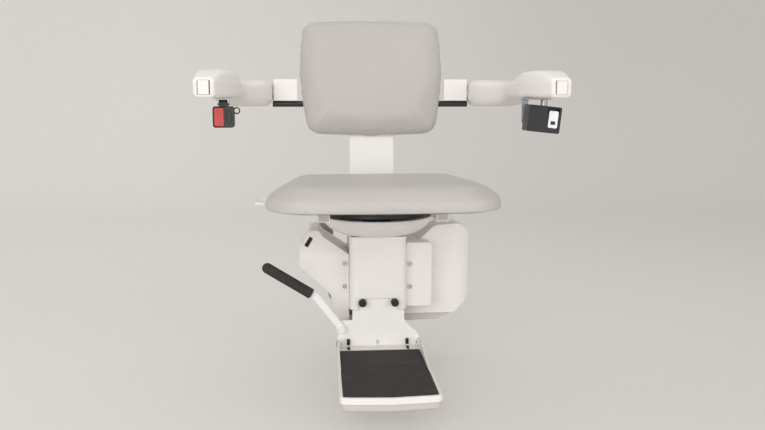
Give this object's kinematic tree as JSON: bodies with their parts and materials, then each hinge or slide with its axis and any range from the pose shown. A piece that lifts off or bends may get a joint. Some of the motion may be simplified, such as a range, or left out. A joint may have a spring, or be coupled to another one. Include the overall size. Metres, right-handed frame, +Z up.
{
  "type": "stairlift chair",
  "caption": "Stairlift carriage with a swivelling padded seat, flip-up arms, lap belt, lever-lifted folding footrest and a drive pinion with rollers for a two-tube rail.",
  "frame": {"origin": "centre of the rail channel, midway between the upper and lower rollers, in the rollers' middle plane", "axes": "+X along the rail, +Y to the wall behind the rail, +Z up; the rider faces -Y"},
  "size_m": [0.7588, 0.622, 0.7981],
  "materials": {
    "body_white": "smooth moulded plastic, soft sheen",
    "arm_grey": "moulded plastic, fine grain",
    "painted_white": "powder coat, smooth",
    "painted_dark": "black powder coat",
    "steel": "machined or zinc plated",
    "bright": "bright plated",
    "brass": "plain",
    "alloy": "cast, as made",
    "vinyl": "warm light grey vinyl over foam",
    "board": "black moulded board",
    "black_plastic": "satin black",
    "red_plastic": "red push button",
    "mat_rubber": "ribbed rubber",
    "grip_rubber": "soft grip",
    "grey_plastic": "mid grey moulding",
    "roller_grey": "hard polymer",
    "green_board": "circuit board"
  },
  "bodies": {
    "carriage": {"chassis_plate": "steel", "column_frame": "steel", "column_cover": "body_white", "collar": "body_white", "left_cover": "body_white", "right_cover": "body_white", "lower_tray": "grey_plastic", "swivel_post": "steel", "thrust_washer": "brass", "index_plate": "steel", "gearbox": "alloy", "motor": "painted_dark", "batteries": "black_plastic", "battery_shelf": "steel", "control_board": "green_board", "charge_contacts": "black_plastic", "roller_axles": "steel", "axle_hardware": "steel", "cover_screws": "bright", "footrest_bracket": "painted_white", "clamp_screws": "black_plastic", "footrest_pin": "steel", "lever_pivot": "steel"},
    "power_switch": {"power_rocker": "black_plastic"},
    "wheel_upper_left": {"roller_upper_left": "roller_grey"},
    "wheel_upper_right": {"roller_upper_right": "roller_grey"},
    "wheel_lower_left": {"roller_lower_left": "roller_grey"},
    "wheel_lower_right": {"roller_lower_right": "roller_grey"},
    "drive": {"drive_shaft": "steel", "drive_pinion": "steel"},
    "footrest": {"footplate": "body_white", "foot_mat": "mat_rubber"},
    "safety_edge": {"safety_pan": "grey_plastic"},
    "lift_lever": {"footrest_lever": "painted_white", "lever_grip": "grip_rubber"},
    "chair": {"swivel_plate": "painted_dark", "seat_frame": "painted_white", "back_post": "painted_white", "back_shell": "arm_grey", "back_cushion": "vinyl", "arm_tube": "painted_dark", "arm_brackets": "painted_white", "arm_pins": "steel", "seat_pins": "steel"},
    "swivel_handle": {"swivel_lever": "painted_white"},
    "lock": {"lock_pin": "steel"},
    "seat": {"seat_pan": "board", "seat_cushion": "vinyl"},
    "arm_left": {"arm_left_top": "body_white", "arm_left_base": "arm_grey", "buckle_hanger": "steel"},
    "arm_right": {"arm_right_top": "body_white", "arm_right_base": "arm_grey", "belt_bracket": "steel", "retractor": "black_plastic"},
    "control_left": {"rocker_left": "arm_grey"},
    "control_right": {"rocker_right": "arm_grey"},
    "belt_buckle": {"buckle": "black_plastic"},
    "buckle_release": {"buckle_button": "red_plastic"},
    "tongue": {"belt_tongue": "bright"}
  },
  "joints": [
    {"name": "seat_swivel", "type": "hinge", "parent": "carriage", "child": "chair", "pos_m": [0, -0.186, 0.156], "axis": [0, 0, 1], "range_deg": [-90, 90]},
    {"name": "seat_fold", "type": "hinge", "parent": "chair", "child": "seat", "pos_m": [0, -0.104, 0.194], "axis": [-1, 0, 0], "range_deg": [0, 82]},
    {"name": "arm_left_fold", "type": "hinge", "parent": "chair", "child": "arm_left", "pos_m": [-0.267, 0.00639, 0.432], "axis": [-1, 0, 0], "range_deg": [0, 88]},
    {"name": "arm_right_fold", "type": "hinge", "parent": "chair", "child": "arm_right", "pos_m": [0.267, 0.00639, 0.432], "axis": [-1, 0, 0], "range_deg": [0, 88]},
    {"name": "control_left_rock", "type": "hinge", "parent": "arm_left", "child": "control_left", "pos_m": [-0.357, -0.43261, 0.4375], "axis": [0, 0, 1], "range_deg": [-8, 8], "stiffness_Nm_per_rad": 0.2},
    {"name": "control_right_rock", "type": "hinge", "parent": "arm_right", "child": "control_right", "pos_m": [0.357, -0.43261, 0.4375], "axis": [0, 0, 1], "range_deg": [-8, 8], "stiffness_Nm_per_rad": 0.2},
    {"name": "swivel_handle_lift", "type": "hinge", "parent": "chair", "child": "swivel_handle", "pos_m": [-0.125, -0.102, 0.174], "axis": [-1, 0, 0], "range_deg": [-15, 0]},
    {"name": "lock_pin_slide", "type": "slide", "parent": "chair", "child": "lock", "axis": [0, 0, 1], "range_m": [-0.0065, 0]},
    {"name": "footrest_fold", "type": "hinge", "parent": "carriage", "child": "footrest", "pos_m": [0, -0.254, -0.142], "axis": [-1, 0, 0], "range_deg": [0, 75]},
    {"name": "lift_lever_pull", "type": "hinge", "parent": "carriage", "child": "lift_lever", "pos_m": [-0.084, -0.2495, -0.108], "axis": [0, 1, 0], "range_deg": [0, 38]},
    {"name": "safety_edge_press", "type": "slide", "parent": "footrest", "child": "safety_edge", "axis": [0, 0, 1], "range_m": [0, 0.003], "stiffness_N_per_m": 800, "springref_m": -0.006},
    {"name": "wheel_upper_left_spin", "type": "hinge", "parent": "carriage", "child": "wheel_upper_left", "pos_m": [-0.125, 0, 0.079], "axis": [0, 1, 0], "continuous": true},
    {"name": "wheel_upper_right_spin", "type": "hinge", "parent": "carriage", "child": "wheel_upper_right", "pos_m": [0.125, 0, 0.079], "axis": [0, 1, 0], "continuous": true},
    {"name": "wheel_lower_left_spin", "type": "hinge", "parent": "carriage", "child": "wheel_lower_left", "pos_m": [-0.085, 0, -0.079], "axis": [0, 1, 0], "continuous": true},
    {"name": "wheel_lower_right_spin", "type": "hinge", "parent": "carriage", "child": "wheel_lower_right", "pos_m": [0.085, 0, -0.079], "axis": [0, 1, 0], "continuous": true},
    {"name": "drive_spin", "type": "hinge", "parent": "carriage", "child": "drive", "pos_m": [0.018, 0, -0.085], "axis": [0, 1, 0], "continuous": true},
    {"name": "power_switch_rock", "type": "hinge", "parent": "carriage", "child": "power_switch", "pos_m": [-0.1589, -0.18217, 0.08361], "axis": [0.8572, -0.2048, -0.4726], "range_deg": [-8, 8]},
    {"name": "buckle_swing", "type": "hinge", "parent": "arm_left", "child": "belt_buckle", "pos_m": [-0.329, -0.3466, 0.4077], "axis": [1, 0, 0], "range_deg": [-60, 60]},
    {"name": "buckle_release_press", "type": "slide", "parent": "belt_buckle", "child": "buckle_release", "axis": [0, 1, 0], "range_m": [0, 0.003], "stiffness_N_per_m": 300, "springref_m": -0.002},
    {"name": "tongue_swing", "type": "hinge", "parent": "arm_right", "child": "tongue", "pos_m": [0.36289, -0.36761, 0.38971], "axis": [-0.9945, 0, 0.1045], "range_deg": [0, 60]}
  ],
  "couplings": [
    {"joint": "lock_pin_slide", "follows": "swivel_handle_lift", "m_per_rad": 0.024},
    {"joint": "lift_lever_pull", "follows": "footrest_fold", "ratio": 0.50667}
  ]
}
